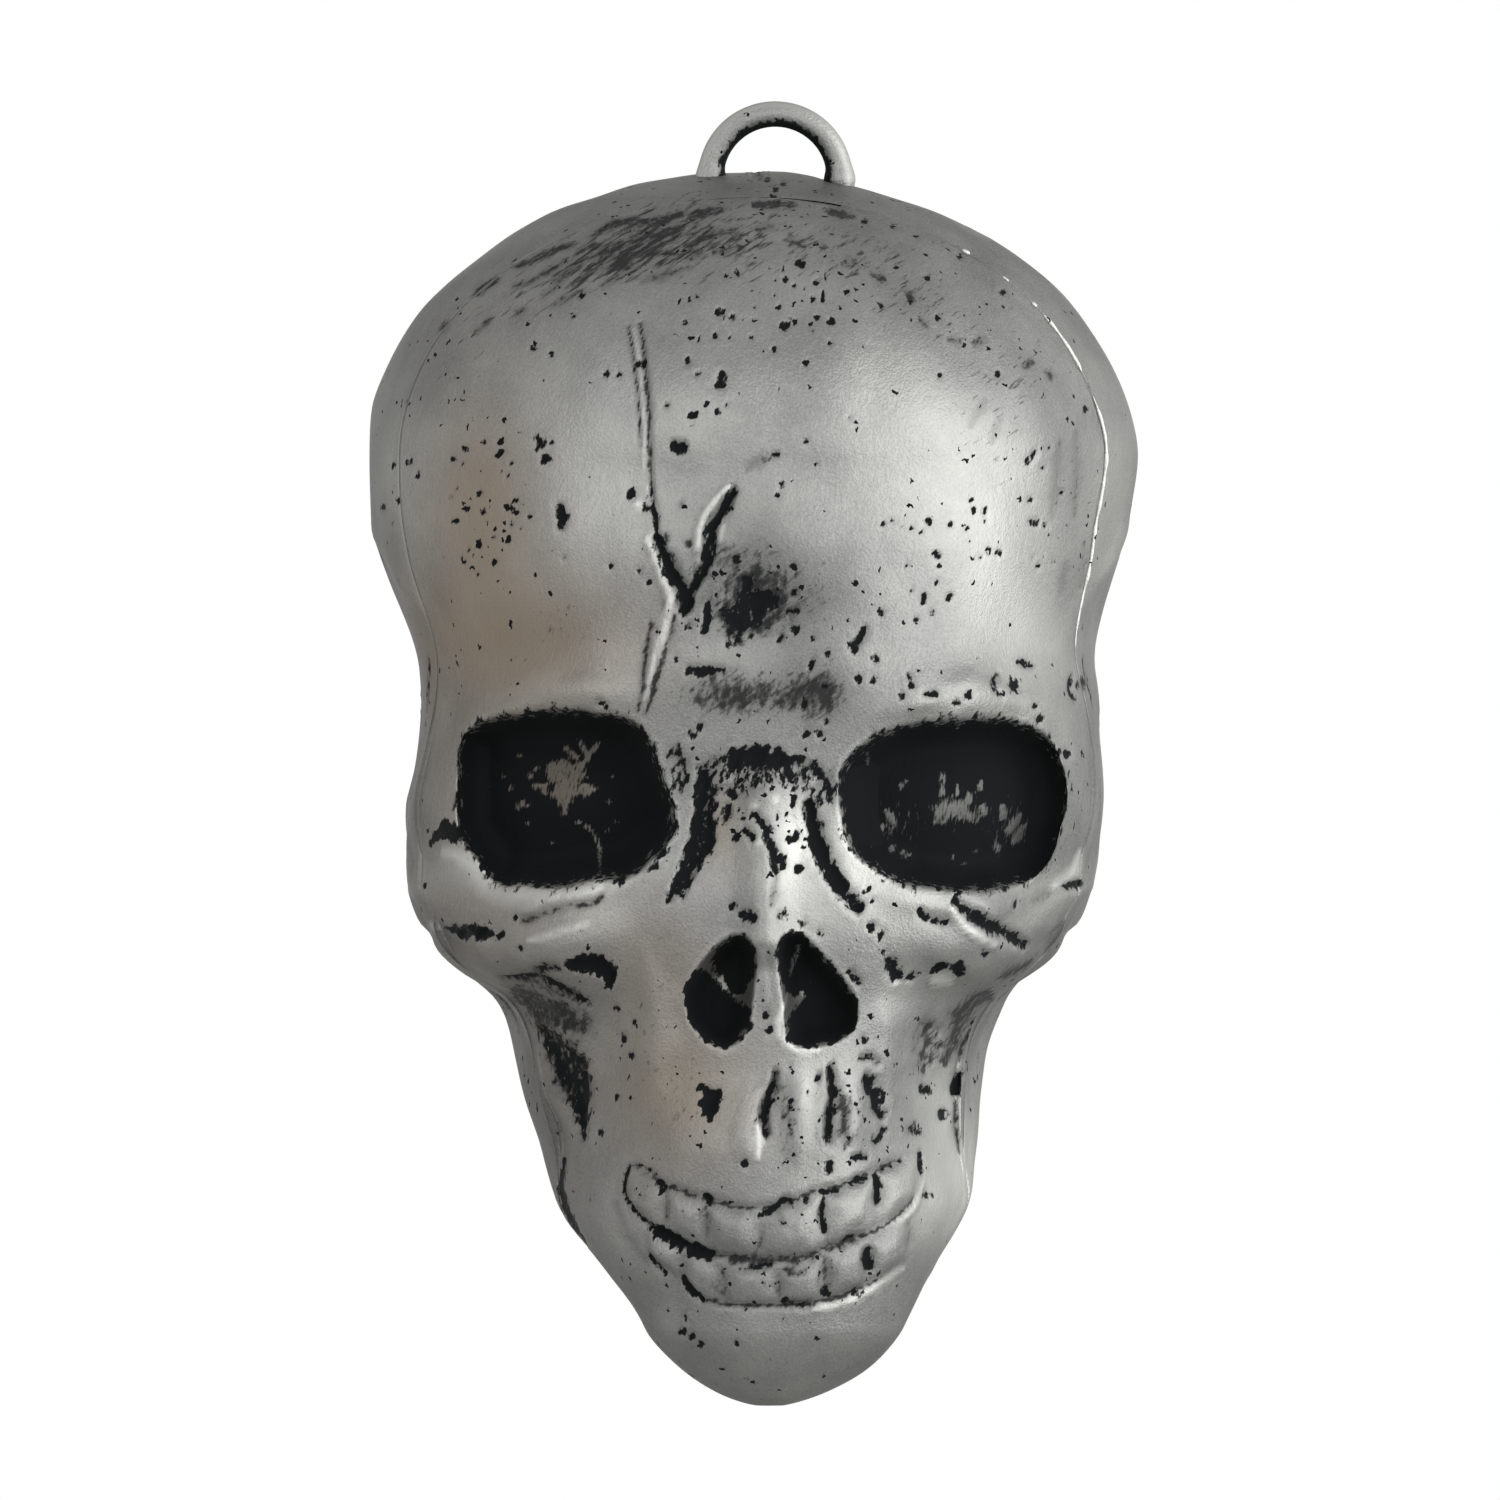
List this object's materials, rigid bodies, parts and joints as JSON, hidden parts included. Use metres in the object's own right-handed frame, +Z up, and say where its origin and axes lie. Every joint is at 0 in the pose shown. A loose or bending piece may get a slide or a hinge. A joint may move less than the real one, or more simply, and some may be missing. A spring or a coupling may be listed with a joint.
{
  "type": "skull decoration",
  "caption": "Hollow hanging skull ornament with sunk eye and nose openings, bared teeth, a parting seam behind the face and a hanging loop on the crown.",
  "frame": {"origin": "the point inside the top of the hanging loop where a hook or string bears", "axes": "+Z up, from the chin to the loop; the face looks along -Y; +X is on the right as one faces the skull"},
  "size_m": [0.1, 0.1032, 0.1675],
  "materials": {
    "antique_silver": "satin silver paint dry-brushed over moulded black plastic, bare black in the hollows",
    "black_plastic": "moulded black plastic",
    "zinc_plated_steel": "bright zinc plating"
  },
  "bodies": {
    "root": {"face_shell": "antique_silver", "back_shell": "antique_silver", "hanging_loop": "antique_silver", "loop_plate": "black_plastic", "screw_upper_left": "zinc_plated_steel", "screw_upper_right": "zinc_plated_steel", "screw_lower_left": "zinc_plated_steel", "screw_lower_right": "zinc_plated_steel"}
  },
  "joints": []
}
